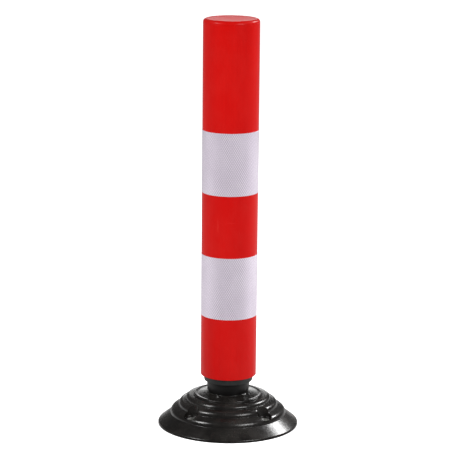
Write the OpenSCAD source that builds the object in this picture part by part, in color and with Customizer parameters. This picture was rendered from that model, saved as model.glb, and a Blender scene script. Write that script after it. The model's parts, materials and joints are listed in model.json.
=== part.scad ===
// Flexible delineator post: a red tube with two reflective bands, held by an elastomer
// neck on a stepped rubber base that is bolted to the road.
// Millimetres, +Z up. The origin is the centre of the base's underside.

/* [Post tube] */
// Overall height above the road
post_h = 750; // [700:5:1000]
// Outer diameter of the tube
tube_d = 102; // [96:1:125]
// Wall of the tube
tube_wall = 4; // [3:0.5:5]
// Chamfer on the tube's lower outer edge
tube_chamfer = 1; // [0.5:0.5:2]

/* [Reflective bands] */
// Height of each reflective band
band_h = 114; // [60:1:120]
// Red length between the two bands
band_gap = 114; // [50:1:120]
// Red length below the lower band
lower_red = 114; // [50:1:120]
// Thickness of the reflective sheeting
band_t = 0.5; // [0.3:0.1:1]

/* [Top cap] */
// Height of the cap's rim above the tube
cap_rim = 7; // [6.5:0.5:12]
// Radius of the cap's top edge
cap_edge = 6; // [1:0.5:6]
// Length of the skirt that plugs into the tube
cap_skirt = 25; // [12:1:40]
// Wall of the cap
cap_wall = 3; // [2:0.5:4]

/* [Neck] */
// Diameter of the elastomer core, which is a barrel cut from a ball
neck_d = 78; // [70:1:82]
// Height of the ball's centre above the ledge, where the post tilts
pivot_h = 17; // [15:0.5:20]
// Height from the foot's ledge to the tube's lower edge
neck_gap = 36; // [34:1:60]
// Height of the hub that holds the core's lower end
hub_h = 3.5; // [2.5:0.5:4]
// Step in radius from the core's widest part to the hub
hub_step = 0.5; // [0:0.1:1]
// Wall of the hub
hub_wall = 3.5; // [2.5:0.1:5]
// Height of the plug's cone that shows below the tube
cone_h = 11; // [8:0.5:11]
// Step in radius from the part inside the tube to the top of the cone
cone_step = 0.3; // [0.2:0.1:3]
// Thickness of the cone's lip
lip_t = 5.2; // [1:0.1:5.5]
// Radial gap between the core and the plug's cone
core_gap = 0.6; // [0.4:0.1:1]
// Thickness of the tube plug's floor
plug_floor = 8; // [5:0.5:12]
// Length of the tube plug above its floor
plug_l = 50; // [35:1:90]
// Wall of the tube plug
plug_wall = 5; // [3:0.5:8]
// Chamfer at the plug's top and at the cap's lower end, which guides them into the tube
lead_in = 2; // [1:0.5:3]
// Height of the slope between the plug's cone and the part inside the tube
cone_shoulder = 2; // [1:0.5:3]

/* [Foot] */
// Diameter of the foot disc, which is the base's top ledge
foot_d = 126.5; // [110:0.5:130]
// Thickness of the foot disc
foot_t = 8; // [6:0.5:12]
// Chamfer on the foot disc's upper edge
foot_edge = 1; // [0.5:0.5:2]
// Number of gussets round the hub
gusset_n = 4; // [3:1:8]
// Width of each gusset at its root
gusset_w = 9; // [5:0.5:12]
// Radial length of each gusset
gusset_l = 7; // [5:0.5:10]
// Length of a gusset's level top
gusset_top = 4; // [0:0.5:4.5]
// Turn of the gussets from the base's X axis
gusset_turn = -26; // [-45:1:45]
// Radial length of the slope that leads from the ledge up to the hub
flare_l = 14; // [4:1:18]
// Height of that slope
flare_h = 2.5; // [0.5:0.1:2.5]

/* [Base] */
// Diameter of the base
base_d = 257; // [240:1:320]
// Height of the ledge above the road
base_h = 58; // [56:1:80]
// Height of the foot disc's rim above the first rib
ledge_lip = 2.5; // [1:0.5:4]
// First rib: width, drop, fall of its tread and radius of its nose
rib1 = [14.7, 8.5, 1.5, 6.3]; // [1:0.1:16]
// Second rib, in the same order
rib2 = [13.2, 12, 3, 7.5]; // [1:0.1:16]
// Third rib, in the same order
rib3 = [15.2, 14, 6, 7.5]; // [1:0.1:16]
// Height of the outer edge
edge_h = 4; // [2:0.5:6]

/* [Anchor holes] */
// Number of anchor holes
anchor_n = 4; // [3:1:6]
// Diameter of the circle the anchor holes lie on
anchor_pcd = 186; // [176:1:190]
// Bore of the steel bushes, for M12 anchors
anchor_bore = 14; // [11:0.5:18]
// Outer diameter of the steel bushes
bush_d = 20; // [19:0.5:24]
// Diameter of the pockets for the anchors' washers
pocket_d = 28; // [26:0.5:30]
// Height of the pockets' floor above the road
pocket_z = 27; // [20:0.5:30]
// Turn of the anchor holes from the base's X axis
anchor_turn = 45; // [0:1:90]

/* [Centre bolts] */
// Thread of the two centre bolts
bolt_d = 16; // [12:1:18]
// Width across the flats of their heads
bolt_af = 24; // [18:1:27]
// Height of their heads
bolt_head = 10; // [7:0.5:12]
// Outer diameter of their washers
washer_d = 34; // [28:1:40]
// Thickness of their washers
washer_t = 3; // [2:0.5:4]
// Diameter of the backing plate under the base
plate_d = 100; // [80:1:120]
// Thickness of the backing plate
plate_t = 4; // [3:0.5:8]
// Thickness of the two steel plates bonded to the core
core_plate_t = 4; // [3:0.5:6]
// Diameter of the threaded bosses on those plates
boss_d = 28; // [24:1:32]
// Height of the threaded bosses
boss_h = 8; // [6:0.5:9]

/* [Fits] */
// Radial gap of a glued or bonded joint
glue_gap = 0.15; // [0.05:0.05:0.3]
// Radial gap around a piece set in rubber
set_gap = 0.2; // [0.1:0.05:0.5]
// Radial gap around the centre bolts in plain holes
bolt_gap = 0.5; // [0.3:0.1:1]
// Radial gap between a bolt and its thread
thread_gap = 0.05; // [0.02:0.01:0.1]
// Height of the lowest bolt head and bushes above the road
ground_gap = 0.8; // [0.3:0.1:2]

/* [Hidden] */
$fn = 96;
eps = 0.01;
arc_steps = 6;
rubber_black = "#2b2a29";
post_red = "#cc1c14";

// Radii
tube_r = tube_d / 2;
tube_bore_r = tube_r - tube_wall;
plug_r = tube_bore_r - glue_gap;
ball_r = neck_d / 2;
hub_r = ball_r - hub_step;
hub_bore_r = hub_r - hub_wall;
core_end_r = hub_bore_r - set_gap;
foot_r = foot_d / 2;
base_r = base_d / 2;
bolt_r = bolt_d / 2;
boss_r = boss_d / 2;
clear_r = bolt_r + bolt_gap;
thread_r = bolt_r + thread_gap;

// Heights, from the road up
head_z = ground_gap;
washer_z = head_z + bolt_head;
plate_z = washer_z + washer_t;
recess_z = plate_z + plate_t;
foot_z = base_h - foot_t;
lower_plate_z = base_h - core_plate_t;
hub_z = base_h + hub_h;
tube_z = base_h + neck_gap;
pivot_z = base_h + pivot_h;
lip_z = tube_z - cone_h;
upper_plate_z = tube_z;
plug_z = upper_plate_z + core_plate_t;
plug_floor_z = plug_z + plug_floor;
plug_top = plug_floor_z + plug_l;
cavity_r = ball_r + core_gap;
lip_r = sqrt(pow(cavity_r, 2) - pow(lip_z - pivot_z, 2)) + lip_t;
core_top_r = sqrt(pow(ball_r, 2) - pow(upper_plate_z - pivot_z, 2));
tube_top = post_h - cap_rim;
lower_band_z = tube_z + lower_red;
upper_band_z = lower_band_z + band_h + band_gap;

function arc(x, y, r, a0, a1) =
    [for (i = [0:arc_steps]) let (a = a0 + (a1 - a0) * i / arc_steps) [x + r * cos(a), y + r * sin(a)]];

// One rounded step of the base, from its inner crease out to the top of its riser
function step(r, z, rib) =
    concat([[r, z]], arc(r + rib[0] - rib[3], z - rib[2] - rib[3], rib[3], 90, 0));

function base_outline() =
    let (
        z1 = base_h - ledge_lip,
        r2 = foot_r + rib1[0],
        z2 = z1 - rib1[1],
        r3 = r2 + rib2[0],
        z3 = z2 - rib2[1],
        r4 = r3 + rib3[0],
        z4 = z3 - rib3[1]
    )
    concat(
        [[0, 0], [0, z1]],
        step(foot_r, z1, rib1),
        step(r2, z2, rib2),
        step(r3, z3, rib3),
        [[r4, z4], [base_r, edge_h], [base_r, 0]]
    );

module ring(z, h, outer, inner) {
    difference() {
        translate([0, 0, z]) cylinder(h = h, r = outer);
        translate([0, 0, z - 1]) cylinder(h = h + 2, r = inner);
    }
}

module at_anchors() {
    for (i = [0:anchor_n - 1])
        rotate([0, 0, anchor_turn + i * 360 / anchor_n])
            translate([anchor_pcd / 2, 0, 0])
                children();
}

module hex_bolt(z, length, up) {
    // Head at z, with the shank above it if up is 1, or below it if up is -1
    translate([0, 0, z]) cylinder(h = bolt_head, d = bolt_af / cos(30), $fn = 6);
    shank_z = up > 0 ? z + bolt_head - 1 : z - length;
    translate([0, 0, shank_z]) cylinder(h = length + 1, r = bolt_r);
}

module base_dome() {
    color(rubber_black)
    difference() {
        rotate_extrude() polygon(base_outline());
        translate([0, 0, foot_z]) cylinder(h = foot_t, r = foot_r + set_gap);
        translate([0, 0, -1]) cylinder(h = recess_z + 1, r = plate_d / 2 + set_gap);
        cylinder(h = base_h, r = clear_r);
        at_anchors() {
            translate([0, 0, -1]) cylinder(h = pocket_z + 2, d = bush_d + 2 * set_gap);
            translate([0, 0, pocket_z]) cylinder(h = base_h, d = pocket_d);
        }
    }
}

module anchor_bushes() {
    color("silver")
    at_anchors() ring(ground_gap, pocket_z - 2 * ground_gap, bush_d / 2, anchor_bore / 2);
}

module backing_plate() {
    color("silver") ring(plate_z, plate_t, plate_d / 2, clear_r);
}

module base_washer() {
    color("silver") ring(washer_z, washer_t, washer_d / 2, clear_r);
}

module base_bolt() {
    color("silver") hex_bolt(head_z, base_h + boss_h - washer_z, 1);
}

// One wedge that braces the hub, pointing along +X
module gusset() {
    intersection() {
        translate([0, gusset_w, 0]) rotate([90, 0, 0])
            linear_extrude(2 * gusset_w)
                polygon([
                    [hub_r - 1, base_h - 1],
                    [hub_r + gusset_l, base_h - 1],
                    [hub_r + gusset_l, base_h],
                    [hub_r + gusset_top, hub_z],
                    [hub_r - 1, hub_z]
                ]);
        rotate([90, 0, 90])
            linear_extrude(foot_r)
                polygon([
                    [-gusset_w / 2, base_h - 1],
                    [gusset_w / 2, base_h - 1],
                    [gusset_w / 2, base_h],
                    [gusset_w / 10, hub_z],
                    [-gusset_w / 10, hub_z],
                    [-gusset_w / 2, base_h]
                ]);
    }
}

module foot_disc() {
    color(rubber_black)
    difference() {
        union() {
            rotate_extrude()
                polygon([
                    [0, foot_z],
                    [foot_r, foot_z],
                    [foot_r, base_h - foot_edge],
                    [foot_r - foot_edge, base_h],
                    [hub_r + flare_l, base_h],
                    [hub_r, base_h + flare_h],
                    [hub_r, hub_z],
                    [0, hub_z]
                ]);
            for (i = [0:gusset_n - 1])
                rotate([0, 0, gusset_turn + i * 360 / gusset_n]) gusset();
        }
        translate([0, 0, lower_plate_z]) cylinder(h = hub_z, r = hub_bore_r);
        translate([0, 0, foot_z - 1]) cylinder(h = foot_t, r = clear_r);
    }
}

module lower_core_plate() {
    color("silver")
    difference() {
        union() {
            translate([0, 0, lower_plate_z]) cylinder(h = core_plate_t, r = core_end_r);
            translate([0, 0, lower_plate_z]) cylinder(h = core_plate_t + boss_h, r = boss_r);
        }
        translate([0, 0, lower_plate_z - 1]) cylinder(h = core_plate_t + boss_h + 2, r = thread_r);
    }
}

module flex_core() {
    ball_low = asin((hub_z - pivot_z) / ball_r);
    ball_high = asin((upper_plate_z - pivot_z) / ball_r);
    color("#252424")
    difference() {
        rotate_extrude()
            polygon(concat(
                [[0, base_h], [core_end_r, base_h], [core_end_r, hub_z]],
                arc(0, pivot_z, ball_r, ball_low, ball_high),
                [[0, upper_plate_z]]
            ));
        translate([0, 0, base_h - 1]) cylinder(h = boss_h + 1, r = boss_r + glue_gap);
        translate([0, 0, upper_plate_z - boss_h]) cylinder(h = boss_h + 1, r = boss_r + glue_gap);
    }
}

module upper_core_plate() {
    color("silver")
    difference() {
        union() {
            translate([0, 0, upper_plate_z]) cylinder(h = core_plate_t, r = core_top_r);
            translate([0, 0, upper_plate_z - boss_h])
                cylinder(h = core_plate_t + boss_h, r = boss_r);
        }
        translate([0, 0, upper_plate_z - boss_h - 1])
            cylinder(h = core_plate_t + boss_h + 2, r = thread_r);
    }
}

module tube_plug() {
    color("#4c4d4d")
    difference() {
        rotate_extrude()
            polygon([
                [0, lip_z],
                [lip_r, lip_z],
                [plug_r - cone_step, tube_z - cone_shoulder / 4],
                [plug_r, tube_z + cone_shoulder * 3 / 4],
                [plug_r, plug_top - lead_in],
                [plug_r - lead_in, plug_top],
                [0, plug_top]
            ]);
        intersection() {
            translate([0, 0, pivot_z]) sphere(r = cavity_r);
            translate([0, 0, lip_z - 1]) cylinder(h = plug_z - lip_z + 1, r = tube_r);
        }
        cylinder(h = plug_z, r = core_top_r + set_gap);
        translate([0, 0, plug_z - 1]) cylinder(h = plug_l, r = clear_r);
        translate([0, 0, plug_floor_z]) cylinder(h = plug_l + 1, r = plug_r - plug_wall);
    }
}

module plug_washer() {
    color("silver") ring(plug_floor_z, washer_t, washer_d / 2, clear_r);
}

module plug_bolt() {
    bolt_z = plug_floor_z + washer_t;
    color("silver") hex_bolt(bolt_z, bolt_z - upper_plate_z + boss_h, -1);
}

module post_tube() {
    color(post_red)
    difference() {
        rotate_extrude()
            polygon([
                [0, tube_z],
                [tube_r - tube_chamfer, tube_z],
                [tube_r, tube_z + tube_chamfer],
                [tube_r, tube_top],
                [0, tube_top]
            ]);
        translate([0, 0, tube_z - 1]) cylinder(h = post_h, r = tube_bore_r);
    }
}

module band(z) {
    color("white") ring(z, band_h, tube_r + band_t, tube_r + eps);
}

module lower_band() {
    band(lower_band_z);
}

module upper_band() {
    band(upper_band_z);
}

module top_cap() {
    color(post_red)
    difference() {
        rotate_extrude()
            polygon(concat(
                [
                    [0, tube_top - cap_skirt],
                    [plug_r - lead_in / 2, tube_top - cap_skirt],
                    [plug_r, tube_top - cap_skirt + lead_in],
                    [plug_r, tube_top],
                    [tube_r, tube_top]
                ],
                arc(tube_r - cap_edge, post_h - cap_edge, cap_edge, 0, 90),
                [[0, post_h]]
            ));
        translate([0, 0, tube_top - cap_skirt - 1])
            cylinder(h = cap_skirt + 1 + cap_rim - cap_wall, r = plug_r - cap_wall);
    }
}

base_dome();
anchor_bushes();
backing_plate();
base_washer();
base_bolt();
foot_disc();
lower_core_plate();
flex_core();
upper_core_plate();
tube_plug();
plug_washer();
plug_bolt();
post_tube();
lower_band();
upper_band();
top_cap();
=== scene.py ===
# %% [markdown]
# # A flexible delineator post
# This lesson builds the looks of a road delineator: a red plastic tube with two reflective
# bands, a black elastomer neck and a stepped rubber base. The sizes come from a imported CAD
# frame, which also says which parts move together. We load that frame first, because every
# piece we model takes its place from it.

import json
import math

import bmesh
import bpy
from mathutils import Matrix, Vector


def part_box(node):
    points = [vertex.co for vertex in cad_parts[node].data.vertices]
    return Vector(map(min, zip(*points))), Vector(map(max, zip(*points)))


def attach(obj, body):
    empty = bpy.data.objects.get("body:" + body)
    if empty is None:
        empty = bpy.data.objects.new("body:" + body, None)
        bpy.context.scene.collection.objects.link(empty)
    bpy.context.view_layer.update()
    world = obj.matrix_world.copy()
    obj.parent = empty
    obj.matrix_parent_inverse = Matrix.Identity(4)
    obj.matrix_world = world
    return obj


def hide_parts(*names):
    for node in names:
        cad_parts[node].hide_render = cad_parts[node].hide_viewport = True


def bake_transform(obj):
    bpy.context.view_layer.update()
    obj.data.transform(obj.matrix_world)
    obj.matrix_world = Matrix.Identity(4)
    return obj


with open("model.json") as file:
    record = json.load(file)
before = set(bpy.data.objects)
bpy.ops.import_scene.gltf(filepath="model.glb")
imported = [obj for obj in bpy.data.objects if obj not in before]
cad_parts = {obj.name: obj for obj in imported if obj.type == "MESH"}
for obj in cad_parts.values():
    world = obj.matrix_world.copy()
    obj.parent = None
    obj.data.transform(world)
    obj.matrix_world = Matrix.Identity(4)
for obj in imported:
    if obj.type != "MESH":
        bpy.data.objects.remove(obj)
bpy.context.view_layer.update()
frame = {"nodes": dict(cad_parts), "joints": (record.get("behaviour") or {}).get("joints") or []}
MM = 0.001

# %% [markdown]
# ## The sizes that the looks depend on
# Only what a box can't tell, such as the width and fall of each rubber step, is written down
# here as a value.

# %% Read sizes from the frame
def radius_of(node):
    low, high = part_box(node)
    return (high.x - low.x) / 2


tube_low, tube_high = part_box("post_tube")
cap_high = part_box("top_cap")[1]
foot_low, foot_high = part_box("foot_disc")
core_low, core_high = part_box("flex_core")

tube_r = radius_of("post_tube")
band_r = radius_of("lower_band")
base_r = radius_of("base_dome")
foot_r = radius_of("foot_disc")
plug_r = radius_of("tube_plug")
tube_z = tube_low.z
tube_top = tube_high.z
post_h = cap_high.z
hub_z = foot_high.z
HUB_H = 3.5 * MM
ledge_z = hub_z - HUB_H
print(f"tube radius {tube_r:.4f}, base radius {base_r:.4f}, height {post_h:.3f}")

# %% [markdown]
# ## Camera
# A tall object looks best from far away through a long lens, because its vertical lines then
# stay nearly parallel. The camera stands a little above the post, is turned down by its pitch
# and is rolled by half a degree, as a hand-held camera would be.

# %% Camera
CAMERA_DISTANCE = 3.9004
CAMERA_SIDE = -0.0012
CAMERA_HEIGHT = 1.2286
CAMERA_PITCH = math.radians(12.470)
CAMERA_ROLL = math.radians(0.548)
SENSOR_WIDTH = 36
LENS = 172.9

camera_data = bpy.data.cameras.new("camera")
camera_data.sensor_width = SENSOR_WIDTH
camera_data.lens = LENS
camera = bpy.data.objects.new("camera", camera_data)
camera.matrix_world = (
    Matrix.Translation((CAMERA_SIDE, -CAMERA_DISTANCE, CAMERA_HEIGHT))
    @ Matrix.Rotation(math.pi / 2 - CAMERA_PITCH, 4, "X")
    @ Matrix.Rotation(CAMERA_ROLL, 4, "Z")
)
bpy.context.collection.objects.link(camera)
bpy.context.scene.camera = camera
print("camera at", tuple(round(v, 3) for v in camera.location))

# %% [markdown]
# ## Helpers for nodes
# A material is a small graph of nodes, and so is the world. These helpers make a node, set its
# sockets and join it to others, so that each material below reads as a list of what it does.

# %% Node helpers
def add(tree, kind, settings=None, **inputs):
    """Adds a node, sets its properties, then fills or links its inputs by name."""
    node = tree.nodes.new(kind)
    for key, value in (settings or {}).items():
        setattr(node, key, value)
    for key, value in inputs.items():
        fill(tree, node.inputs[key.replace("_", " ")], value)
    return node


def fill(tree, socket, value):
    """Links a socket if the value is another socket, or sets it."""
    if isinstance(value, bpy.types.NodeSocket):
        tree.links.new(value, socket)
    else:
        socket.default_value = value


def calc(tree, operation, a, b=0.0, c=0.0, clamp=False):
    """One Math node, returning its output socket."""
    node = tree.nodes.new("ShaderNodeMath")
    node.operation = operation
    node.use_clamp = clamp
    for socket, value in zip(node.inputs, (a, b, c)):
        fill(tree, socket, value)
    return node.outputs[0]


def blend_colours(tree, amount, first, second):
    """A Mix node for colours, returning its output socket."""
    node = tree.nodes.new("ShaderNodeMix")
    node.data_type = "RGBA"
    fill(tree, node.inputs["Factor"], amount)
    fill(tree, node.inputs["A"], first)
    fill(tree, node.inputs["B"], second)
    return node.outputs["Result"]


def blend_values(tree, amount, first, second):
    """A Mix node for plain numbers, returning its output socket."""
    return add(tree, "ShaderNodeMix", Factor=amount, A=first, B=second).outputs["Result"]


def spread(tree, value, low, high, to_low=0.0, to_high=1.0):
    """A clamped Map Range node, returning its output socket."""
    node = tree.nodes.new("ShaderNodeMapRange")
    node.clamp = True
    fill(tree, node.inputs["Value"], value)
    limits = {"From Min": low, "From Max": high, "To Min": to_low, "To Max": to_high}
    for key, number in limits.items():
        fill(tree, node.inputs[key], number)
    return node.outputs["Result"]


def noise(tree, vector, scale, detail=3.0, roughness=0.55, distortion=0.0):
    """A Noise Texture, returning its factor."""
    node = add(tree, "ShaderNodeTexNoise", Vector=vector, Scale=scale, Detail=detail,
               Roughness=roughness, Distortion=distortion)
    return node.outputs["Fac"]


def stretched(tree, vector, scale):
    """A Mapping node that scales the pattern differently along each axis."""
    return add(tree, "ShaderNodeMapping", Vector=vector, Scale=scale).outputs["Vector"]

# %% [markdown]
# ## Floor and light
# A pale floor and a white world make the bright, even background. Softboxes to the left, the
# right and behind on the right draw small bright streaks on the rounded rubber steps, and a
# white card far behind is mirrored in the cap's flat top. What the camera sees and what a
# glossy surface mirrors needn't be the same: for glossy rays the world and the floor in front
# are dark, so black rubber stays black, and the floor at the sides and behind is pale, so the
# sides of the tube and bands are lifted and a cylinder reads as round.

# %% Floor
FLOOR_SIZE = 60
FLOOR_GLOW = 0.5
FLOOR_WHITE = (0.92, 0.92, 0.92, 1)
# The bearing's Y part: -1 straight in front of the post, 0 at its sides, 1 straight behind
FRONT, SIDE = -0.8, 0.0
MIRRORED_IN_FRONT, MIRRORED_BEHIND = 0.1, 0.5

floor_mesh = bmesh.new()
bmesh.ops.create_grid(floor_mesh, x_segments=1, y_segments=1, size=FLOOR_SIZE / 2)
floor_data = bpy.data.meshes.new("floor")
floor_mesh.to_mesh(floor_data)
floor_mesh.free()
floor = bpy.data.objects.new("floor", floor_data)
bpy.context.collection.objects.link(floor)

floor_paint = bpy.data.materials.new("pale floor")
floor_paint.use_nodes = True
paint = floor_paint.node_tree
matt = paint.nodes["Principled BSDF"]
matt.inputs["Roughness"].default_value = 0.9
matt.inputs["Specular IOR Level"].default_value = 0.0
matt.inputs["Emission Color"].default_value = (1, 1, 1, 1)
floor_rays = add(paint, "ShaderNodeLightPath").outputs
glow = calc(paint, "MULTIPLY", floor_rays["Is Camera Ray"], FLOOR_GLOW)
paint.links.new(glow, matt.inputs["Emission Strength"])
where = add(paint, "ShaderNodeTexCoord").outputs["Object"]
bearing = add(paint, "ShaderNodeVectorMath", {"operation": "NORMALIZE"}, Vector=where).outputs
behind = add(paint, "ShaderNodeSeparateXYZ", Vector=bearing["Vector"]).outputs["Y"]
mirrored_grey = spread(paint, behind, FRONT, SIDE, MIRRORED_IN_FRONT, MIRRORED_BEHIND)
shade = blend_colours(paint, floor_rays["Is Glossy Ray"], FLOOR_WHITE, mirrored_grey)
paint.links.new(shade, matt.inputs["Base Color"])
floor_data.materials.append(floor_paint)
print("floor:", FLOOR_SIZE, "m wide,", len(paint.nodes), "nodes in its paint")

# %% World
BACKDROP = 1.0
FILL = 0.52
REFLECTED = 0.11

world = bpy.data.worlds.new("studio")
world.use_nodes = True
sky = world.node_tree
rays = add(sky, "ShaderNodeLightPath").outputs
unseen = blend_values(sky, rays["Is Glossy Ray"], FILL, REFLECTED)
strength = blend_values(sky, rays["Is Camera Ray"], unseen, BACKDROP)
sky.nodes["Background"].inputs["Color"].default_value = (1, 1, 1, 1)
sky.links.new(strength, sky.nodes["Background"].inputs["Strength"])
bpy.context.scene.world = world
bpy.context.scene.view_settings.view_transform = "Standard"
print("world strength:", BACKDROP, "seen,", FILL, "as light,", REFLECTED, "mirrored")

# %% Lights
def softbox(name, place, target, width, height, watts):
    """A rectangular area light at a place, turned to face a target."""
    data = bpy.data.lights.new(name, "AREA")
    data.shape = "RECTANGLE"
    data.size = width
    data.size_y = height
    data.energy = watts
    light = bpy.data.objects.new(name, data)
    light.visible_camera = False
    light.location = place
    light.rotation_euler = (Vector(target) - Vector(place)).to_track_quat("-Z", "Y").to_euler()
    bpy.context.collection.objects.link(light)
    return light


middle = (0, 0, post_h / 2)
softbox("left softbox", (-2.05, -1.0, 2.1), middle, 0.7, 0.7, 46)
softbox("right front softbox", (1.6, -1.9, 1.8), middle, 1.1, 0.7, 44)
softbox("right back softbox", (2.1, 1.5, 2.1), middle, 0.8, 0.8, 70)
softbox("back card", (0, 8.0, 0.95), middle, 2.5, 1.9, 32)

# %% [markdown]
# ## Shared effects
# Three effects turn up on more than one material, so each is a node group, built once.
# **Road dust** is a soft cloud broken into specks, thicker on faces that look up.
# **Scuffs** are thin streaks: noise squeezed along one axis and cut to its brightest ridges.
# **Moulded grain** is the fine unevenness of a moulded surface, used as a bump height.

# %% Group helpers
def new_group(name, inputs, outputs):
    """A node group with float inputs (name: default) and float outputs."""
    tree = bpy.data.node_groups.new(name, "ShaderNodeTree")
    tree.interface.new_socket("Vector", in_out="INPUT", socket_type="NodeSocketVector")
    for key, value in inputs.items():
        socket = tree.interface.new_socket(key, in_out="INPUT", socket_type="NodeSocketFloat")
        socket.default_value = value
    for key in outputs:
        tree.interface.new_socket(key, in_out="OUTPUT", socket_type="NodeSocketFloat")
    given = tree.nodes.new("NodeGroupInput").outputs
    return tree, given, tree.nodes.new("NodeGroupOutput").inputs


def use_group(tree, group, vector, **values):
    """Places a group in a material and returns its outputs."""
    node = tree.nodes.new("ShaderNodeGroup")
    node.node_tree = group
    tree.links.new(vector, node.inputs["Vector"])
    for key, value in values.items():
        fill(tree, node.inputs[key.replace("_", " ")], value)
    return node.outputs

# %% Road dust
road_dust, given, result = new_group(
    "road dust", {"Amount": 0.5, "Speck Scale": 900.0}, ["Mask"]
)
normal = add(road_dust, "ShaderNodeTexCoord").outputs["Normal"]
facing_up = add(road_dust, "ShaderNodeSeparateXYZ", Vector=normal).outputs["Z"]
settles = spread(road_dust, facing_up, -0.1, 0.9, 0.25, 1.0)
cloud = spread(road_dust, noise(road_dust, given["Vector"], 28.0, 4.0, 0.6), 0.42, 0.68)
grit = noise(road_dust, given["Vector"], given["Speck Scale"], 2.0, 0.7)
specks = spread(road_dust, grit, 0.5, 0.72)
film = calc(road_dust, "MULTIPLY", cloud, 0.45)
speckled = calc(road_dust, "MULTIPLY", specks, calc(road_dust, "ADD", cloud, 0.25))
settled = calc(road_dust, "MULTIPLY", calc(road_dust, "ADD", film, speckled), settles)
mask = calc(road_dust, "MULTIPLY", settled, given["Amount"], clamp=True)
road_dust.links.new(mask, result["Mask"])

# %% Scuffs
scuffs, given, result = new_group("scuffs", {"Amount": 0.5, "Scale": 60.0}, ["Mask"])
along = stretched(scuffs, given["Vector"], (1.0, 1.0, 0.12))
across = stretched(scuffs, given["Vector"], (0.2, 0.35, 1.0))
upright = spread(scuffs, noise(scuffs, along, given["Scale"], 5.0, 0.75, 0.6), 0.62, 0.7)
flat = spread(scuffs, noise(scuffs, across, given["Scale"], 5.0, 0.75, 0.6), 0.64, 0.72)
patches = spread(scuffs, noise(scuffs, given["Vector"], 9.0, 2.0), 0.45, 0.65)
marks = calc(scuffs, "MULTIPLY", calc(scuffs, "MAXIMUM", upright, flat), patches)
scuffs.links.new(calc(scuffs, "MULTIPLY", marks, given["Amount"], clamp=True), result["Mask"])

# %% Moulded grain
moulded_grain, given, result = new_group(
    "moulded grain", {"Scale": 700.0, "Waviness": 0.3}, ["Height"]
)
fine = noise(moulded_grain, given["Vector"], given["Scale"], 3.0, 0.6)
slow = noise(moulded_grain, given["Vector"], 35.0, 2.0, 0.5)
waves = calc(moulded_grain, "MULTIPLY", slow, given["Waviness"])
moulded_grain.links.new(calc(moulded_grain, "ADD", fine, waves), result["Height"])
print("groups:", [g.name for g in bpy.data.node_groups])

# %% [markdown]
# ## A start for every material
# Each material begins with the same three things: its node tree, its Principled shader and its
# Object coordinates. Those coordinates are metres on the object itself, so a pattern keeps its
# real size and stays put when the post bends.

# %% New material
def new_material(name, **constants):
    """A node material with constant values set on the shader's own sockets."""
    material = bpy.data.materials.new(name)
    material.use_nodes = True
    tree = material.node_tree
    shader = tree.nodes["Principled BSDF"]
    for key, value in constants.items():
        shader.inputs[key.replace("_", " ")].default_value = value
    place = tree.nodes.new("ShaderNodeTexCoord").outputs["Object"]
    return material, tree, shader, place


def add_bump(tree, shader, height, strength, distance):
    """Bends the shading by a height in the unit of distance."""
    bump = add(tree, "ShaderNodeBump", Strength=strength, Distance=distance, Height=height)
    tree.links.new(bump.outputs["Normal"], shader.inputs["Normal"])

# %% [markdown]
# ## Red post plastic
# The tube is extruded polyethylene, dyed through. Extrusion leaves very faint lines along its
# length, which are finer than a hair, so noise stretched along the tube draws them. Sun and
# cleaning leave slow changes of shade, and the surface is glossy but not polished. A trace of
# clear coat sharpens the highlight where nothing has rubbed it off. For glossy rays the red is
# mixed towards near-black. This is painted shade, so the tube's reflection in the black rubber is
# dark.

# %% Red plastic
RED_DEEP, RED_LIGHT = (0.42, 0.0012, 0.0007, 1), (0.48, 0.0026, 0.0014, 1)
RED_SCRAPED, RED_DUSTY = (0.62, 0.06, 0.045, 1), (0.55, 0.22, 0.18, 1)
# Painted shade: the near-black that the red turns into when it is seen in a reflection
RED_PAINTED_DARK_IN_REFLECTIONS, REFLECTION_DARKENING_SHARE = (0.02, 0.003, 0.002, 1), 0.8


def red_plastic():
    """Dyed plastic with faint extrusion lines, a few scrapes and a trace of dust."""
    material, tree, shader, place = new_material(
        "red post plastic", Coat_Roughness=0.2, Specular_IOR_Level=0.08
    )
    lines = noise(tree, stretched(tree, place, (1.0, 1.0, 0.01)), 420.0, 2.0)
    shade = noise(tree, stretched(tree, place, (1.0, 1.0, 0.4)), 14.0, 3.0)
    tint = spread(tree, calc(tree, "ADD", calc(tree, "MULTIPLY", lines, 0.25), shade), 0.45, 0.85)
    colour = blend_colours(tree, tint, RED_DEEP, RED_LIGHT)
    marks = use_group(tree, scuffs, place, Amount=0.2, Scale=70.0)["Mask"]
    dust = use_group(tree, road_dust, place, Amount=0.05, Speck_Scale=1100.0)["Mask"]
    scraped = blend_colours(tree, marks, colour, RED_SCRAPED)
    dusted = blend_colours(tree, dust, scraped, RED_DUSTY)
    # Painted shade in reflections: glossy rays see the red mixed towards near-black, so the tube
    # mirrored in the rubber's creases looks dark
    glossy_ray = add(tree, "ShaderNodeLightPath").outputs["Is Glossy Ray"]
    mirrored = calc(tree, "MULTIPLY", glossy_ray, REFLECTION_DARKENING_SHARE)
    red_with_painted_dark_reflections = blend_colours(tree, mirrored, dusted, RED_PAINTED_DARK_IN_REFLECTIONS)
    tree.links.new(red_with_painted_dark_reflections, shader.inputs["Base Color"])
    rough = spread(tree, shade, 0.3, 0.7, 0.3, 0.38)
    rubbed = calc(tree, "MULTIPLY", marks, 0.3)
    tree.links.new(calc(tree, "ADD", rough, rubbed), shader.inputs["Roughness"])
    tree.links.new(spread(tree, marks, 0.0, 1.0, 0.04, 0.0), shader.inputs["Coat Weight"])
    grain = use_group(tree, moulded_grain, place, Scale=500.0, Waviness=1.2)["Height"]
    height = calc(tree, "ADD", grain, calc(tree, "MULTIPLY", lines, 0.6))
    add_bump(tree, shader, height, 0.12, 0.2 * MM)
    return material


RED = red_plastic()
print(RED.name, "has", len(RED.node_tree.nodes), "nodes")

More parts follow.
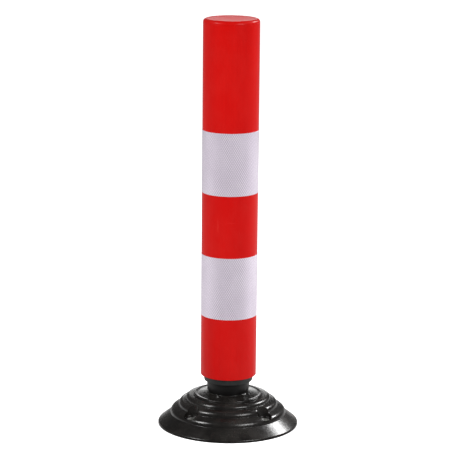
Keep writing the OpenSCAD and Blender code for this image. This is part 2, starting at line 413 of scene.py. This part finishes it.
# %% [markdown]
# ## Reflective sheeting
# The bands are retroreflective sheet: tiny optics under a clear film, welded down in a lattice
# of cells a few millimetres wide. By day it looks pale silver-white, and the weld lines show as
# a fine net. The lattice follows the sheet, so it is drawn in the sheet's own UV map, whose
# unit is the metre. It could be an image, but two families of slanting lines need only maths
# nodes and stay sharp at any size. The sheet is part mirror, so Metallic is set halfway.

# %% Cell lattice
CELL = 4.0 * MM
SLANT = 0.62

cell_lattice, given, result = new_group(
    "cell lattice", {"Pitch": CELL, "Line": 0.16}, ["Line", "Height"]
)
flat_place = add(cell_lattice, "ShaderNodeSeparateXYZ", Vector=given["Vector"]).outputs


def slanting_lines(sign):
    """Distance from the nearest slanting line, from 0 on it to 0.5 halfway to the next."""
    tree = cell_lattice
    lean = calc(tree, "MULTIPLY", flat_place["Y"], sign * SLANT)
    turns = calc(tree, "DIVIDE", calc(tree, "ADD", flat_place["X"], lean), given["Pitch"])
    return calc(tree, "PINGPONG", turns, 0.5)


closer = calc(cell_lattice, "MINIMUM", slanting_lines(1), slanting_lines(-1))
nearest = calc(cell_lattice, "MULTIPLY", closer, 2.0)
line_core = calc(cell_lattice, "MULTIPLY", given["Line"], 0.5)
on_line = spread(cell_lattice, nearest, line_core, given["Line"], 1.0, 0.0)
cell_lattice.links.new(on_line, result["Line"])
pillow = spread(cell_lattice, nearest, 0.0, 0.7)
cell_lattice.links.new(pillow, result["Height"])
print("lattice cell:", CELL, "m")

# %% Sheeting
PEARL_DULL, PEARL_BRIGHT = (0.79, 0.70, 0.82, 1), (0.85, 0.765, 0.88, 1)
# The glint colour is a painted highlight: near-white specks that stand in for the optics' sparkle
PAINTED_GLINT, SHEET_DIRT = (0.95, 0.93, 0.96, 1), (0.48, 0.44, 0.42, 1)
NET_GREY, NET_SHARE = (0.19, 0.18, 0.21, 1), 0.52


def sheeting():
    """Pale, part-metallic film with painted glints and a fine net of weld lines."""
    material, tree, shader, place = new_material(
        "reflective sheeting", Metallic=0.5, Coat_Weight=0.3, Coat_Roughness=0.1
    )
    flat_map = add(tree, "ShaderNodeUVMap", {"uv_map": "sheet"}).outputs["UV"]
    lattice = use_group(tree, cell_lattice, flat_map, Pitch=CELL, Line=0.26)
    shade = noise(tree, place, 18.0, 3.0)
    glints = noise(tree, place, 1600.0, 1.0)
    pearl = blend_colours(tree, spread(tree, shade, 0.35, 0.65), PEARL_DULL, PEARL_BRIGHT)
    # Painted glints: near-white specks mixed into the colour, where the same noise also varies the
    # roughness
    pearl_with_painted_glints = blend_colours(tree, spread(tree, glints, 0.55, 0.75, 0.0, 0.5), pearl, PAINTED_GLINT)
    net = calc(tree, "MULTIPLY", lattice["Line"], NET_SHARE)
    netted = blend_colours(tree, net, pearl_with_painted_glints, NET_GREY)
    dust = use_group(tree, road_dust, place, Amount=0.18, Speck_Scale=1000.0)["Mask"]
    marks = use_group(tree, scuffs, place, Amount=0.4, Scale=80.0)["Mask"]
    dirt = calc(tree, "MAXIMUM", dust, marks)
    dirtied = blend_colours(tree, dirt, netted, SHEET_DIRT)
    tree.links.new(dirtied, shader.inputs["Base Color"])
    rough = spread(tree, glints, 0.3, 0.7, 0.28, 0.42)
    dulled = calc(tree, "MULTIPLY", dirt, 0.3)
    tree.links.new(calc(tree, "ADD", rough, dulled), shader.inputs["Roughness"])
    add_bump(tree, shader, lattice["Height"], 0.35, 0.12 * MM)
    return material


SHEETING = sheeting()
print(SHEETING.name, "has", len(SHEETING.node_tree.nodes), "nodes")

# %% [markdown]
# ## Rubber
# The base is pressed from black rubber. Fresh rubber is nearly black and quite glossy where it
# touched the mould, and it greys where it is rubbed or dusty. One function makes both rubbers:
# the coarse one of the base and the cleaner, duller elastomer of the neck. Its gloss is the
# lowest roughness of the surface, so a smaller number is shinier.

# %% Rubber
RUBBER_RUBBED, RUBBER_DUSTY = (0.06, 0.056, 0.052, 1), (0.17, 0.155, 0.14, 1)


def rubber(name, black, grey, gloss, dusty, grain_scale):
    """Black rubber that is greyed by rubbing and dust, with a moulded grain."""
    material, tree, shader, place = new_material(name, Specular_IOR_Level=0.45)
    shade = noise(tree, place, 24.0, 4.0, 0.6)
    body = blend_colours(tree, spread(tree, shade, 0.35, 0.7), black, grey)
    marks = use_group(tree, scuffs, place, Amount=0.6 * dusty, Scale=55.0)["Mask"]
    rubbed = blend_colours(tree, marks, body, RUBBER_RUBBED)
    dust = use_group(tree, road_dust, place, Amount=dusty, Speck_Scale=800.0)["Mask"]
    dusted = blend_colours(tree, dust, rubbed, RUBBER_DUSTY)
    tree.links.new(dusted, shader.inputs["Base Color"])
    rough = spread(tree, shade, 0.3, 0.7, gloss, gloss + 0.12)
    worn = calc(tree, "MULTIPLY", calc(tree, "MAXIMUM", marks, dust), 0.35)
    tree.links.new(calc(tree, "ADD", rough, worn, clamp=True), shader.inputs["Roughness"])
    grain = use_group(tree, moulded_grain, place, Scale=grain_scale, Waviness=2.0)["Height"]
    height = calc(tree, "ADD", grain, calc(tree, "MULTIPLY", dust, 0.4))
    add_bump(tree, shader, height, 0.4, 0.3 * MM)
    return material


BASE_RUBBER = rubber(
    "base rubber", (0.0035, 0.003, 0.0028, 1), (0.009, 0.0075, 0.0066, 1),
    gloss=0.17, dusty=0.1, grain_scale=600.0,
)
NECK_RUBBER = rubber(
    "neck elastomer", (0.003, 0.0026, 0.0025, 1), (0.006, 0.005, 0.0048, 1),
    gloss=0.34, dusty=0.04, grain_scale=900.0,
)
print("rubbers:", BASE_RUBBER.name, "and", NECK_RUBBER.name)

# %% [markdown]
# ## Zinc-plated steel and black plastic
# The bolts, washers, plates and bushes are zinc plated. Zinc is a metal, so Metallic is 1 and
# its colour is the reflection's colour. Plating crystallises in small cells, which a Voronoi
# texture gives, and handling leaves fine scratches. The plug in the tube is plain black plastic.

# %% Zinc steel
ZINC_DULL, ZINC_BRIGHT = (0.47, 0.47, 0.45, 1), (0.66, 0.66, 0.64, 1)
ZINC_SCRATCHED = (0.34, 0.31, 0.28, 1)


def zinc_steel():
    """Zinc plating with small crystal cells and fine scratches."""
    material, tree, shader, place = new_material("zinc steel", Metallic=1.0)
    cells = add(tree, "ShaderNodeTexVoronoi", Vector=place, Scale=420.0).outputs["Color"]
    spangle = add(tree, "ShaderNodeSeparateColor", Color=cells).outputs["Red"]
    shade = noise(tree, place, 60.0, 3.0)
    tone = spread(tree, calc(tree, "ADD", calc(tree, "MULTIPLY", spangle, 0.4), shade), 0.4, 0.95)
    plated = blend_colours(tree, tone, ZINC_DULL, ZINC_BRIGHT)
    marks = use_group(tree, scuffs, place, Amount=0.8, Scale=120.0)["Mask"]
    scratched = blend_colours(tree, marks, plated, ZINC_SCRATCHED)
    tree.links.new(scratched, shader.inputs["Base Color"])
    rough = spread(tree, tone, 0.0, 1.0, 0.42, 0.28)
    dulled = calc(tree, "MULTIPLY", marks, 0.25)
    tree.links.new(calc(tree, "ADD", rough, dulled), shader.inputs["Roughness"])
    grain = use_group(tree, moulded_grain, place, Scale=1400.0, Waviness=0.5)["Height"]
    add_bump(tree, shader, grain, 0.15, 0.1 * MM)
    return material


ZINC = zinc_steel()
print(ZINC.name, "has", len(ZINC.node_tree.nodes), "nodes")

# %% Black plastic
BLACK_DEEP, BLACK_LIGHT = (0.018, 0.0185, 0.018, 1), (0.032, 0.033, 0.032, 1)
BLACK_SCRATCHED = (0.1, 0.1, 0.1, 1)


def black_plastic():
    """Plain matt black plastic with a few pale scratches."""
    material, tree, shader, place = new_material("black plastic")
    shade = noise(tree, place, 40.0, 3.0)
    colour = blend_colours(tree, spread(tree, shade, 0.3, 0.7), BLACK_DEEP, BLACK_LIGHT)
    marks = use_group(tree, scuffs, place, Amount=0.5, Scale=90.0)["Mask"]
    scratched = blend_colours(tree, marks, colour, BLACK_SCRATCHED)
    tree.links.new(scratched, shader.inputs["Base Color"])
    tree.links.new(spread(tree, shade, 0.3, 0.7, 0.45, 0.6), shader.inputs["Roughness"])
    grain = use_group(tree, moulded_grain, place, Scale=1000.0, Waviness=0.3)["Height"]
    add_bump(tree, shader, grain, 0.3, 0.1 * MM)
    return material


BLACK = black_plastic()
print("materials:", [m.name for m in bpy.data.materials])

# %% [markdown]
# ## Turned pieces
# Nearly everything on a post is round, so most pieces start as half an outline that is spun
# about the vertical axis, as a potter or a lathe would shape them. The outline is a wire of a
# few corners. Bevelling a corner's vertex rounds it, so each corner carries its own fillet. It
# could be drawn as a curve with a Screw modifier, but a bmesh spin leaves a plain mesh that we
# can cut and bevel further.

# %% Outline, spin and finish
ROUND_STEPS = 192
DOUBLES = 0.005 * MM


def outline(corners, closed=False, steps=5):
    """A wire in the XZ plane through corners (radius, height, fillet), with fillets rounded."""
    bm = bmesh.new()
    points = [bm.verts.new((r, 0, z)) for r, z, fillet in corners]
    pairs = list(zip(points, points[1:])) + ([(points[-1], points[0])] if closed else [])
    for a, b in pairs:
        bm.edges.new((a, b))
    fillets = sorted({round(c[2], 7) for c in corners if c[2] > 0})
    chosen = {f: [v for v, c in zip(points, corners) if round(c[2], 7) == f] for f in fillets}
    for fillet in fillets:
        bmesh.ops.bevel(bm, geom=chosen[fillet], offset=fillet, offset_type="OFFSET",
                        segments=steps, profile=0.5, affect="VERTICES", material=-1)
    return bm


def spin_wire(bm, angle, steps, merge):
    """Turns everything in the bmesh about the vertical axis, and returns what spin made."""
    return bmesh.ops.spin(bm, geom=bm.verts[:] + bm.edges[:], cent=(0, 0, 0), axis=(0, 0, 1),
                          dvec=(0, 0, 0), angle=angle, steps=steps, use_merge=merge,
                          use_duplicate=False)


def spin(bm, steps=ROUND_STEPS):
    """Turns the wire once about the vertical axis and closes it into a skin."""
    spin_wire(bm, math.tau, steps, merge=True)
    bmesh.ops.remove_doubles(bm, verts=bm.verts[:], dist=DOUBLES)
    bmesh.ops.recalc_face_normals(bm, faces=bm.faces[:])
    return bm


def finish_piece(bm, name, material, body, nodes=(), crease=35):
    """Makes the mesh an object, shades it smooth up to an angle, and ties it to the frame."""
    data = bpy.data.meshes.new(name)
    bm.to_mesh(data)
    bm.free()
    data.materials.append(material)
    data.polygons.foreach_set("use_smooth", [True] * len(data.polygons))
    data.set_sharp_from_angle(angle=math.radians(crease))
    piece = bpy.data.objects.new(name, data)
    bpy.context.collection.objects.link(piece)
    if body:
        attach(piece, body)
    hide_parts(*nodes)
    print(f"{name}: {len(data.polygons)} faces, top at {max(v.co.z for v in data.vertices):.4f} m")
    return piece

# %% [markdown]
# ## The tube
# The tube is a plain extrusion with a real wall. Its cut ends are eased, most at the outer lower
# edge, where the red meets the neck. It could be a cylinder with a Solidify modifier, but a
# closed section that is spun gives the wall and the eased ends at once. Rings along its length
# keep the quads short enough for a clean export.

# %% Tube
WALL = 4 * MM
TUBE_RINGS = 24

tube = outline(
    [
        (tube_r - WALL, tube_z, 0.6 * MM),
        (tube_r, tube_z, 1.1 * MM),
        (tube_r, tube_top, 0.3 * MM),
        (tube_r - WALL, tube_top, 0.3 * MM),
    ],
    closed=True,
)
long_edges = [e for e in tube.edges if e.calc_length() > (tube_top - tube_z) / 2]
bmesh.ops.subdivide_edges(tube, edges=long_edges, cuts=TUBE_RINGS)
finish_piece(spin(tube), "red_tube", RED, "post", ["post_tube"])

# %% [markdown]
# ## The cap
# The cap is moulded in the same red. Its rim sits flush on the tube with a hairline seam, its
# top is almost flat with a small dish moulded in the middle, and a skirt plugs into the tube.
# A real cap is one moulding, so it is spun from one outline that runs over the top, down the
# seam and the skirt, and back up inside.

# %% Cap
CAP_EDGE = 5.9 * MM
CAP_WALL = 3 * MM
CAP_RIM_W = 8 * MM
DISH = 0.8 * MM
skirt_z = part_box("top_cap")[0].z

cap = outline(
    [
        (0, post_h - DISH, 0),
        (tube_r - CAP_RIM_W - 2 * MM, post_h - 0.3 * MM, 2 * MM),
        (tube_r - CAP_RIM_W, post_h, 0.8 * MM),
        (tube_r, post_h, CAP_EDGE),
        (tube_r, tube_top, 0.25 * MM),
        (plug_r, tube_top, 0),
        (plug_r, skirt_z + 2 * MM, 0),
        (plug_r - 1 * MM, skirt_z, 0.3 * MM),
        (plug_r - CAP_WALL, skirt_z, 0.5 * MM),
        (plug_r - CAP_WALL, post_h - CAP_WALL - 1 * MM, 2 * MM),
        (0, post_h - CAP_WALL - 1 * MM, 0),
    ]
)
finish_piece(spin(cap), "top_cap_moulding", RED, "post", ["top_cap"])

# %% [markdown]
# ## The reflective bands
# Each band is one strip of sheeting wrapped round the tube, with its end lapped over its start
# at the back. Its section is spun a little more than once round, and the last stretch climbs
# over the first by the sheet's thickness. A spin adds its points ring by ring, so a point's
# number tells how far along the strip it lies. From that, every face gets UVs in metres, as it
# would lie on the cutting table.

# %% Bands
LAP_STEPS = 4
CLIMB_STEPS = 2
SHEET_T = 0.22 * MM
SHEET_EDGE = 0.1 * MM
GLUE_GAP = 0.02 * MM


def wrap_band(name, node):
    """A strip wrapped round the tube, lapped at the back, with flat UVs in metres."""
    low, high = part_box(node)
    inner, outer = tube_r + GLUE_GAP, band_r - SHEET_T
    bm = outline(
        [
            (inner, low.z, 0), (outer - SHEET_EDGE, low.z, 0), (outer, low.z + SHEET_EDGE, 0),
            (outer, high.z - SHEET_EDGE, 0), (outer - SHEET_EDGE, high.z, 0), (inner, high.z, 0),
        ],
        closed=True,
    )
    corners = len(bm.verts)
    first_ring = bm.edges[:]
    turn = Matrix.Rotation(math.pi / 2, 3, "Z")
    bmesh.ops.rotate(bm, verts=bm.verts[:], cent=(0, 0, 0), matrix=turn)
    steps = ROUND_STEPS + LAP_STEPS
    spun = spin_wire(bm, math.tau * steps / ROUND_STEPS, steps, merge=False)
    last_ring = [e for e in spun["geom_last"] if isinstance(e, bmesh.types.BMEdge)]
    for ring in (first_ring, last_ring):
        bmesh.ops.contextual_create(bm, geom=ring)
    bm.verts.index_update()
    for vert in bm.verts:
        lapped = min(max((vert.index // corners - ROUND_STEPS) / CLIMB_STEPS + 1, 0), 1)
        vert.co.xy += vert.co.xy.normalized() * lapped * SHEET_T
    uv = bm.loops.layers.uv.new("sheet")
    for face in bm.faces:
        for loop in face.loops:
            along = loop.vert.index // corners * math.tau * outer / ROUND_STEPS
            loop[uv].uv = (along, loop.vert.co.z)
    bmesh.ops.recalc_face_normals(bm, faces=bm.faces[:])
    return finish_piece(bm, name, SHEETING, "post", [node])


wrap_band("lower_reflective_band", "lower_band")
wrap_band("upper_reflective_band", "upper_band")

# %% [markdown]
# ## Joining and cutting solids
# Pockets are easiest as a Boolean: a second, turned solid is taken away from the first. The
# same modifier joins gussets to a disc and a shank to a bolt's head. It is applied at once, so
# the finished piece is plain mesh again. The result keeps its flat and round faces, and only the
# pockets' lips need a small bevel afterwards.

# %% Boolean helper
def temporary(bm, name):
    """Puts a bmesh in a throw-away object."""
    data = bpy.data.meshes.new(name)
    bm.to_mesh(data)
    bm.free()
    piece = bpy.data.objects.new(name, data)
    bpy.context.collection.objects.link(piece)
    return piece


def carve(bm, tool, operation="DIFFERENCE"):
    """Returns bm with tool taken away, added or intersected, as a new bmesh."""
    body, other = temporary(bm, "carve body"), temporary(tool, "carve tool")
    modifier = body.modifiers.new("carve", "BOOLEAN")
    modifier.operation = operation
    modifier.solver = "EXACT"
    modifier.object = other
    result = bmesh.new()
    result.from_object(body, bpy.context.evaluated_depsgraph_get())
    for piece in (body, other):
        data = piece.data
        bpy.data.objects.remove(piece)
        bpy.data.meshes.remove(data)
    return result


def copies_around(bm, places):
    """Repeats the whole bmesh at each matrix, in one bmesh."""
    data = bpy.data.meshes.new("pattern")
    bm.to_mesh(data)
    bm.free()
    pattern = bmesh.new()
    for place in places:
        before = len(pattern.verts)
        pattern.from_mesh(data)
        pattern.verts.ensure_lookup_table()
        bmesh.ops.transform(pattern, matrix=place, verts=pattern.verts[before:])
    bpy.data.meshes.remove(data)
    return pattern


def ease_edges(bm, chosen, width, steps=2):
    """Rounds the chosen edges slightly."""
    bmesh.ops.bevel(bm, geom=chosen, offset=width, offset_type="OFFSET", segments=steps,
                    profile=0.5, affect="EDGES", clamp_overlap=True, material=-1)

# %% [markdown]
# ## The rubber base
# The base is one turned shape: a wide flange, then three rounded steps that climb to the ledge
# under the neck. Each step is its inner crease, a tread that falls outwards, a round nose and
# a short riser. Four vertical pockets for anchor nuts are cut through the steps afterwards.

# %% Base outline
# Each step: width, drop from crease to crease, fall of the tread, radius of the nose
STEPS = ((14.7, 8.5, 1.5, 6.2), (13.2, 12.0, 3.0, 7.4), (15.2, 14.0, 6.0, 7.4))
CREASE = 0.5 * MM
LEDGE_LIP = 2.5 * MM
EDGE_H = 4 * MM
BOLT_HOLE_R = 8.5 * MM
FIT = 0.2 * MM
RUBBER_CREASE = 42
foot_z = foot_low.z
recess_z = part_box("backing_plate")[1].z
recess_r = radius_of("backing_plate") + FIT

corners = [
    (BOLT_HOLE_R, recess_z, 0),
    (BOLT_HOLE_R, foot_z, 0),
    (foot_r + FIT, foot_z, 0),
    (foot_r + FIT, ledge_z - LEDGE_LIP, 0.5 * MM),
]
r, z = foot_r, ledge_z - LEDGE_LIP
for width, drop, fall, nose in STEPS:
    r, z = r + width * MM, z - drop * MM
    corners.append((r, z + (drop - fall) * MM, nose * MM))
    corners.append((r, z, CREASE))
corners += [
    (base_r, EDGE_H, 1.2 * MM),
    (base_r, 0, 0.6 * MM),
    (recess_r, 0, 1.5 * MM),
    (recess_r, recess_z, 1.0 * MM),
]
base = spin(outline(corners, closed=True, steps=6))
print("base outline:", len(corners), "corners")

# %% Anchor pockets
ANCHOR_R = 93 * MM
POCKET_R = 14 * MM
POCKET_Z = 27 * MM
BUSH_R = 10 * MM
BUSH_BORE_R = 7 * MM
DRILL_LOW, DRILL_HIGH = -5 * MM, 80 * MM
anchor_angles = [math.radians(45 + 90 * i) for i in range(4)]
anchor_places = [
    Matrix.Translation((ANCHOR_R * math.cos(a), ANCHOR_R * math.sin(a), 0)) for a in anchor_angles
]
drill = spin(
    outline(
        [
            (0, DRILL_LOW, 0),
            (BUSH_R + FIT, DRILL_LOW, 0),
            (BUSH_R + FIT, POCKET_Z, 0.5 * MM),
            (POCKET_R, POCKET_Z, 1.5 * MM),
            (POCKET_R, DRILL_HIGH, 0),
            (0, DRILL_HIGH, 0),
        ],
        steps=3,
    ),
    steps=48,
)
base = carve(base, copies_around(drill, anchor_places))
print("pockets cut:", len(anchor_places), "leaving", len(base.faces), "faces")


def on_pocket_lip(edge):
    """True on the sharp edge where a pocket's wall meets the steps."""
    centre = (edge.verts[0].co + edge.verts[1].co) / 2
    off_wall = min(abs((centre.xy - p.translation.xy).length - POCKET_R) for p in anchor_places)
    high_up = centre.z > POCKET_Z + 2 * MM
    return off_wall < 0.15 * MM and high_up and edge.calc_face_angle(0) > math.radians(30)


ease_edges(base, [e for e in base.edges if on_pocket_lip(e)], 0.7 * MM)
finish_piece(base, "rubber_base", BASE_RUBBER, "base", ["base_dome"],
             crease=RUBBER_CREASE)

# %% [markdown]
# ## The foot disc and its gussets
# The ledge under the neck is a disc with a rounded rim that stands a little proud of the first
# step. Inside the rim it dips, then slopes up to a low hub that grips the neck. Four small
# gussets brace the hub. A gusset starts as a cube: its top is pinched and made shorter than its
# foot, so its outer end slopes, then its edges are eased. It could be part of the disc's outline
# if it went all round, but separate gussets are simplest as blocks joined on by a Boolean.

# %% Foot
BALL_CENTRE = Vector(frame["joints"][0]["pos_m"])
HUB_R = radius_of("flex_core") - 0.5 * MM
HUB_BORE = HUB_R - 3.5 * MM
FLARE_L = 14 * MM
FLARE_H = 2.5 * MM
RIM_W = 4 * MM
DIP_AT, DIP = 6 * MM, 0.6 * MM
plate_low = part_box("lower_core_plate")[0].z
foot = spin(
    outline(
        [
            (BOLT_HOLE_R, foot_z, 0),
            (foot_r, foot_z, 0.5 * MM),
            (foot_r, ledge_z, 1.6 * MM),
            (foot_r - RIM_W, ledge_z, 0.8 * MM),
            (foot_r - DIP_AT, ledge_z - DIP, 1.5 * MM),
            (HUB_R + FLARE_L, ledge_z - 0.2 * MM, 6 * MM),
            (HUB_R, ledge_z + FLARE_H, 1.5 * MM),
            (HUB_R, hub_z, 0.7 * MM),
            (HUB_BORE, hub_z, 0.3 * MM),
            (HUB_BORE, plate_low, 0),
            (BOLT_HOLE_R, plate_low, 0),
        ],
        closed=True,
        steps=4,
    )
)
print(f"hub radius {HUB_R:.4f}, top of the hub {hub_z:.4f}")

# %% Gussets
GUSSET_W = 9 * MM
GUSSET_L = 7 * MM
GUSSET_TOP = 4 * MM
GUSSET_TURN = math.radians(-26)
ROOT_DEPTH = 1.5 * MM
PINCH = 0.2
GUSSET_EASE = 0.5 * MM

gusset = bmesh.new()
bmesh.ops.create_cube(gusset, size=1)
for vert in gusset.verts:
    outer, top = vert.co.x > 0, vert.co.z > 0
    reach = GUSSET_TOP if top else GUSSET_L
    vert.co.x = HUB_R + (reach if outer else -ROOT_DEPTH)
    vert.co.y *= PINCH * GUSSET_W if top else GUSSET_W
    vert.co.z = hub_z - FIT if top else ledge_z - ROOT_DEPTH
outer_end = [e for e in gusset.edges if all(v.co.x > HUB_R for v in e.verts)]
upright = [e for e in gusset.edges if abs(e.verts[0].co.z - e.verts[1].co.z) > 2 * MM]
chosen = [e for e in gusset.edges if e in outer_end or e in upright]
ease_edges(gusset, chosen, GUSSET_EASE, 3)
turns = [Matrix.Rotation(GUSSET_TURN + i * math.pi / 2, 4, "Z") for i in range(4)]
foot = carve(foot, copies_around(gusset, turns), "UNION")
finish_piece(foot, "foot_disc_moulding", BASE_RUBBER, "base", ["foot_disc"],
             crease=RUBBER_CREASE)

# %% [markdown]
# ## The elastomer core
# The core is a barrel cut from a ball whose centre is where the post tilts. A ball that turns
# about its centre keeps its outline, so the post can lean any way and the neck never tears.

# %% Core
BOSS_R = 14.15 * MM
BALL_R = radius_of("flex_core")
BALL_STEPS = 16


def ball_points(low, high):
    """Corners along the barrel from one height to another."""
    span = [math.asin((h - BALL_CENTRE.z) / BALL_R) for h in (low, high)]
    angles = [span[0] + (span[1] - span[0]) * i / BALL_STEPS for i in range(BALL_STEPS + 1)]
    return [(BALL_R * math.cos(a), BALL_CENTRE.z + BALL_R * math.sin(a), 0) for a in angles]


boss_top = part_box("lower_core_plate")[1].z
boss_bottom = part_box("upper_core_plate")[0].z
lower_core = outline(
    [(0, boss_top, 0), (BOSS_R, boss_top, 0), (BOSS_R, core_low.z, 0),
     (HUB_BORE - FIT, core_low.z, 0), (HUB_BORE - FIT, hub_z, 0)]
    + ball_points(hub_z, BALL_CENTRE.z)
    + [(0, BALL_CENTRE.z, 0)]
)
upper_core = outline(
    [(0, BALL_CENTRE.z, 0)]
    + ball_points(BALL_CENTRE.z, core_high.z)
    + [(BOSS_R, core_high.z, 0), (BOSS_R, boss_bottom, 0), (0, boss_bottom, 0)]
)
lower_piece = finish_piece(spin(lower_core), "neck_core_lower", NECK_RUBBER, None,
                           ["flex_core"])
upper_piece = finish_piece(spin(upper_core), "neck_core_upper", NECK_RUBBER, None,
                           ["flex_core"])
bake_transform(lower_piece)
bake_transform(upper_piece)

# %% [markdown]
# ## The plug
# The plug closes the tube's lower end and bolts down onto the core. Only its cone shows: it
# narrows slightly from the tube to a thick lip round the barrel, and its inside is hollowed to
# the same ball, so it can swing over the core without touching it. It is turned like the rest,
# because its outline holds the cone, the hollow and the bolt's seat in one closed wire.

# %% Plug
LIP_T = 5.2 * MM
CAVITY_R = BALL_R + 0.6 * MM
CONE_R = plug_r - 0.3 * MM
PLUG_WALL = 5 * MM
HOLLOW_STEPS = 8
plug_low, plug_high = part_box("tube_plug")
plug_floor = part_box("plug_washer")[0].z
plate_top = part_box("upper_core_plate")[1].z
lip_rise = plug_low.z - BALL_CENTRE.z
lip_r = math.sqrt(CAVITY_R**2 - lip_rise**2)
top_r = radius_of("upper_core_plate") + FIT
hollow_top = BALL_CENTRE.z + math.sqrt(CAVITY_R**2 - top_r**2)
lip_angle = math.asin(lip_rise / CAVITY_R)
top_angle = math.asin((hollow_top - BALL_CENTRE.z) / CAVITY_R)
hollow = []
for i in range(HOLLOW_STEPS + 1):
    a = top_angle + (lip_angle - top_angle) * i / HOLLOW_STEPS
    hollow.append((CAVITY_R * math.cos(a), BALL_CENTRE.z + CAVITY_R * math.sin(a), 0))
plug = outline(
    hollow
    + [
        (lip_r + LIP_T, plug_low.z, 0.45 * MM),
        (CONE_R, tube_z - 0.5 * MM, 0.8 * MM),
        (plug_r, tube_z + 1.5 * MM, 0.4 * MM),
        (plug_r, plug_high.z - 2 * MM, 0),
        (plug_r - 2 * MM, plug_high.z, 0.5 * MM),
        (plug_r - PLUG_WALL, plug_high.z, 0.5 * MM),
        (plug_r - PLUG_WALL, plug_floor, 2 * MM),
        (BOLT_HOLE_R, plug_floor, 0.4 * MM),
        (BOLT_HOLE_R, plate_top, 0.2 * MM),
        (top_r, plate_top, 0),
    ],
    closed=True,
)
finish_piece(spin(plug), "tube_plug_moulding", BLACK, "post", ["tube_plug"])
print(f"lip radius {lip_r:.4f} inside, {lip_r + LIP_T:.4f} outside")

# %% [markdown]
# ## Steel parts
# Washers, plates and bushes are turned rings with eased edges. The two bolts have hexagonal
# heads: a six-sided prism intersected with a shallow cone gives the curved chamfer that every
# real hex head has. Their shanks carry ridges at the thread's pitch. A true helix would look
# much the same at this size and take many more faces.

# %% Steel rings
def steel_ring(bore, outer, low, high, ease=0.4 * MM, steps=96):
    """A flat ring with eased edges, as a bmesh."""
    section = [(bore, low, ease), (outer, low, ease), (outer, high, ease), (bore, high, ease)]
    return spin(outline(section, closed=True, steps=2), steps)


def ring_for(node, name, body, bore=BOLT_HOLE_R):
    """A ring that fills a round CAD node's box."""
    low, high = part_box(node)
    ring = steel_ring(bore, radius_of(node), low.z, high.z)
    finish_piece(ring, name, ZINC, body, [node])


ring_for("backing_plate", "backing_plate_disc", "base")
ring_for("base_washer", "base_bolt_washer", "base")
ring_for("plug_washer", "plug_bolt_washer", "post")

bush_low, bush_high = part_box("anchor_bushes")
bush = steel_ring(BUSH_BORE_R, BUSH_R, bush_low.z, bush_high.z, 0.6 * MM)
bushes = copies_around(bush, anchor_places)
finish_piece(bushes, "anchor_bush_set", ZINC, "base", ["anchor_bushes"])

# %% Bolts
THREAD_PITCH = 2 * MM
THREAD_DEPTH = 0.9 * MM
SHANK_R = 8 * MM
THREAD_L = 22 * MM
HEAD_H = 10 * MM
CHAMFER_FROM = 0.95
CHAMFER_ANGLE = math.radians(30)
OVERLAP = 0.2 * MM


def hex_head(flats, bottom, outer_z, away):
    """A hexagonal head whose outer face, at outer_z, is chamfered by a shallow cone."""
    corner_r = flats / 2 / math.cos(math.pi / 6)
    place = Matrix.Translation((0, 0, bottom)) @ Matrix.Rotation(math.pi / 6, 4, "Z")
    head = bmesh.new()
    bmesh.ops.create_circle(head, cap_ends=True, cap_tris=False, segments=6, radius=corner_r,
                            matrix=place)
    lifted = bmesh.ops.extrude_face_region(head, geom=head.faces[:])["geom"]
    lifted = [g for g in lifted if isinstance(g, bmesh.types.BMVert)]
    bmesh.ops.translate(head, vec=(0, 0, HEAD_H), verts=lifted)
    bmesh.ops.recalc_face_normals(head, faces=head.faces[:])
    flat_r = flats / 2 * CHAMFER_FROM
    cone_r = corner_r + MM
    fall = (cone_r - flat_r) * math.tan(CHAMFER_ANGLE)
    far = outer_z - away * (HEAD_H + MM)
    cone = outline([(0, outer_z, 0), (flat_r, outer_z, 0), (cone_r, outer_z - away * fall, 0),
                    (cone_r, far, 0), (0, far, 0)])
    return carve(head, spin(cone, 72), "INTERSECT")


def threaded_shank(start, stop, way):
    """A round shank from start to stop, with ridges along its last stretch."""
    long_enough = abs(stop - start) > THREAD_L
    thread_z = stop - way * THREAD_L if long_enough else start + way * 2 * MM
    count = int((abs(stop - thread_z) - MM) / THREAD_PITCH)
    points = [(0, start, 0), (SHANK_R, start, 0)]
    for i in range(count):
        at = thread_z + way * i * THREAD_PITCH
        points.append((SHANK_R, at, 0))
        points.append((SHANK_R - THREAD_DEPTH, at + way * THREAD_PITCH / 2, 0))
    points.append((SHANK_R, thread_z + way * count * THREAD_PITCH, 0))
    points += [(SHANK_R - MM, stop, 0), (0, stop, 0)]
    return spin(outline(points), 64)


def hex_bolt(node, name, body, head_low):
    """A hex bolt in a CAD bolt's box, with its head at the low or the high end."""
    low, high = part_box(node)
    bottom = low.z if head_low else high.z - HEAD_H
    if head_low:
        head = hex_head(high.y - low.y, bottom, bottom, -1)
        shank = threaded_shank(bottom + HEAD_H - OVERLAP, high.z, 1)
    else:
        head = hex_head(high.y - low.y, bottom, bottom + HEAD_H, 1)
        shank = threaded_shank(bottom + OVERLAP, low.z, -1)
    bolt = carve(head, shank, "UNION")
    finish_piece(bolt, name, ZINC, body, [node], crease=30)


hex_bolt("base_bolt", "base_hex_bolt", "base", head_low=True)
hex_bolt("plug_bolt", "plug_hex_bolt", "post", head_low=False)

# %% [markdown]
# ## The steel plates inside the neck
# These two plates are bonded to the core and never seen, so the CAD shapes are good enough.
# They only swap the frame's plain finish for the zinc steel.

# %% Core plates
for node in ("lower_core_plate", "upper_core_plate"):
    plate = frame["nodes"][node]
    plate.data.materials.clear()
    plate.data.materials.append(ZINC)
    print(node, "keeps its CAD shape")
